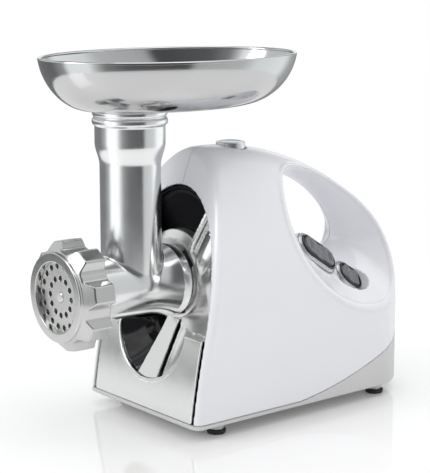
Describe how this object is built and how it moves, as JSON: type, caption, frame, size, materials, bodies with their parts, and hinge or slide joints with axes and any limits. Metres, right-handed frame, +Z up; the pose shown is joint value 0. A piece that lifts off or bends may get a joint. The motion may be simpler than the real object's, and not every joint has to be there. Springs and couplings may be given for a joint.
{
  "type": "electric meat grinder",
  "caption": "White countertop electric meat grinder with a polished cast head, overhead oval tray, ring nut, hand opening through the housing and two rocker switches.",
  "frame": {"origin": "on the floor under the middle of the whole machine", "axes": "+Z up; +Y from the grinding head to the back of the housing; +X across, the switch side"},
  "size_m": [0.1672, 0.346, 0.306],
  "materials": {
    "housing": "high gloss moulded",
    "base": "satin moulded",
    "foot_rubber": "moulded rubber",
    "chrome_panel": "polished plating",
    "recess_black": "high gloss black",
    "collar_chrome": "polished plating",
    "button_metal": "satin plating",
    "latch_plastic": "moulded acetal",
    "spring_steel": "drawn wire",
    "bezel_chrome": "polished plating",
    "rocker_grey": "fine texture",
    "switch_black": "moulded",
    "gear_nylon": "natural nylon",
    "gear_steel": "machined",
    "shaft_steel": "ground",
    "bush_bronze": "sintered",
    "gearbox_plastic": "glass filled",
    "lamination": "stacked sheet",
    "copper": "enamelled wire",
    "motor_bracket": "zinc plated",
    "carbon": "pressed carbon",
    "fan_plastic": "moulded",
    "cast_aluminium": "polished casting",
    "tray_aluminium": "spun and brushed",
    "blade_steel": "ground",
    "plate_steel": "ground, fine satin",
    "screw_steel": "zinc plated",
    "grommet_rubber": "moulded rubber"
  },
  "bodies": {
    "machine": {"housing_left": "housing", "housing_right": "housing", "base_plate": "base", "foot_front_left": "foot_rubber", "foot_front_right": "foot_rubber", "foot_rear_left": "foot_rubber", "foot_rear_right": "foot_rubber", "front_panel": "chrome_panel", "front_recess": "recess_black", "hub_collar": "collar_chrome", "spring_seat": "latch_plastic", "power_bezel": "bezel_chrome", "power_switch_body": "switch_black", "reverse_bezel": "bezel_chrome", "reverse_switch_body": "switch_black", "output_bush": "bush_bronze", "first_axle": "shaft_steel", "second_axle": "shaft_steel", "gearbox_case": "gearbox_plastic", "gearbox_cover": "gearbox_plastic", "field_core": "lamination", "field_coils": "copper", "front_bracket": "motor_bracket", "rear_bracket": "motor_bracket", "front_bearing": "bush_bronze", "rear_bearing": "bush_bronze", "brush_holder_left": "switch_black", "brush_holder_right": "switch_black", "carbon_brush_left": "carbon", "carbon_brush_right": "carbon", "cord_inlet": "grommet_rubber", "base_screws": "screw_steel", "case_screws": "screw_steel", "gearbox_screws": "screw_steel", "motor_through_bolts": "screw_steel", "bracket_screws": "screw_steel"},
    "rotor": {"rotor_shaft": "shaft_steel", "armature_core": "lamination", "armature_windings": "copper", "commutator": "copper", "cooling_fan": "fan_plastic", "motor_pinion": "gear_steel"},
    "idler_one": {"first_gear": "gear_nylon"},
    "idler_two": {"second_gear": "gear_nylon"},
    "drive_output": {"output_gear": "gear_steel", "output_shaft": "shaft_steel", "feed_screw": "cast_aluminium", "thrust_washer": "latch_plastic", "cutting_blade": "blade_steel"},
    "head": {"grinder_body": "cast_aluminium", "upright_tube": "cast_aluminium", "head_bush": "bush_bronze"},
    "plate": {"cutting_plate": "plate_steel"},
    "nut": {"ring_nut": "cast_aluminium"},
    "tray": {"hopper_tray": "tray_aluminium"},
    "release": {"release_button": "button_metal", "latch_slide": "latch_plastic", "latch_spring": "spring_steel"},
    "power_key": {"power_rocker": "rocker_grey"},
    "reverse_key": {"reverse_rocker": "rocker_grey"}
  },
  "joints": [
    {"name": "rotor_spin", "type": "hinge", "parent": "machine", "child": "rotor", "pos_m": [0, 0, 0.06], "axis": [0, 1, 0], "continuous": true},
    {"name": "first_gear_spin", "type": "hinge", "parent": "machine", "child": "idler_one", "pos_m": [0.01477, 0, 0.08782], "axis": [0, 1, 0], "continuous": true},
    {"name": "second_gear_spin", "type": "hinge", "parent": "machine", "child": "idler_two", "pos_m": [0.03569, 0, 0.11431], "axis": [0, 1, 0], "continuous": true},
    {"name": "output_spin", "type": "hinge", "parent": "machine", "child": "drive_output", "pos_m": [0, 0, 0.119], "axis": [0, 1, 0], "continuous": true},
    {"name": "head_turn", "type": "hinge", "parent": "machine", "child": "head", "pos_m": [0, -0.048, 0.119], "axis": [0, 1, 0], "range_deg": [0, 45]},
    {"name": "plate_travel", "type": "slide", "parent": "head", "child": "plate", "axis": [0, -1, 0], "range_m": [0, 0.012]},
    {"name": "nut_turn", "type": "hinge", "parent": "plate", "child": "nut", "pos_m": [0, -0.158, 0.119], "axis": [0, 1, 0], "range_deg": [0, 1440]},
    {"name": "tray_lift", "type": "slide", "parent": "head", "child": "tray", "axis": [0, 0, 1], "range_m": [0, 0.05]},
    {"name": "release_press", "type": "slide", "parent": "machine", "child": "release", "axis": [0, 0, -1], "range_m": [0, 0.004], "stiffness_N_per_m": 600, "springref_m": -0.004, "deforming": ["latch_spring"]},
    {"name": "power_tilt", "type": "hinge", "parent": "machine", "child": "power_key", "pos_m": [0.04317, 0.06295, 0.1296], "axis": [-0.6428, 0.4172, 0.6425], "range_deg": [-6, 6]},
    {"name": "reverse_tilt", "type": "hinge", "parent": "machine", "child": "reverse_key", "pos_m": [0.04477, 0.10005, 0.1039], "axis": [-0.6428, 0.4172, 0.6425], "range_deg": [-6, 6], "stiffness_Nm_per_rad": 0.5}
  ],
  "couplings": [
    {"joint": "first_gear_spin", "follows": "rotor_spin", "ratio": -0.16667},
    {"joint": "second_gear_spin", "follows": "rotor_spin", "ratio": 0.047619},
    {"joint": "output_spin", "follows": "rotor_spin", "ratio": -0.015873},
    {"joint": "plate_travel", "follows": "nut_turn", "m_per_rad": 0.00047746}
  ]
}
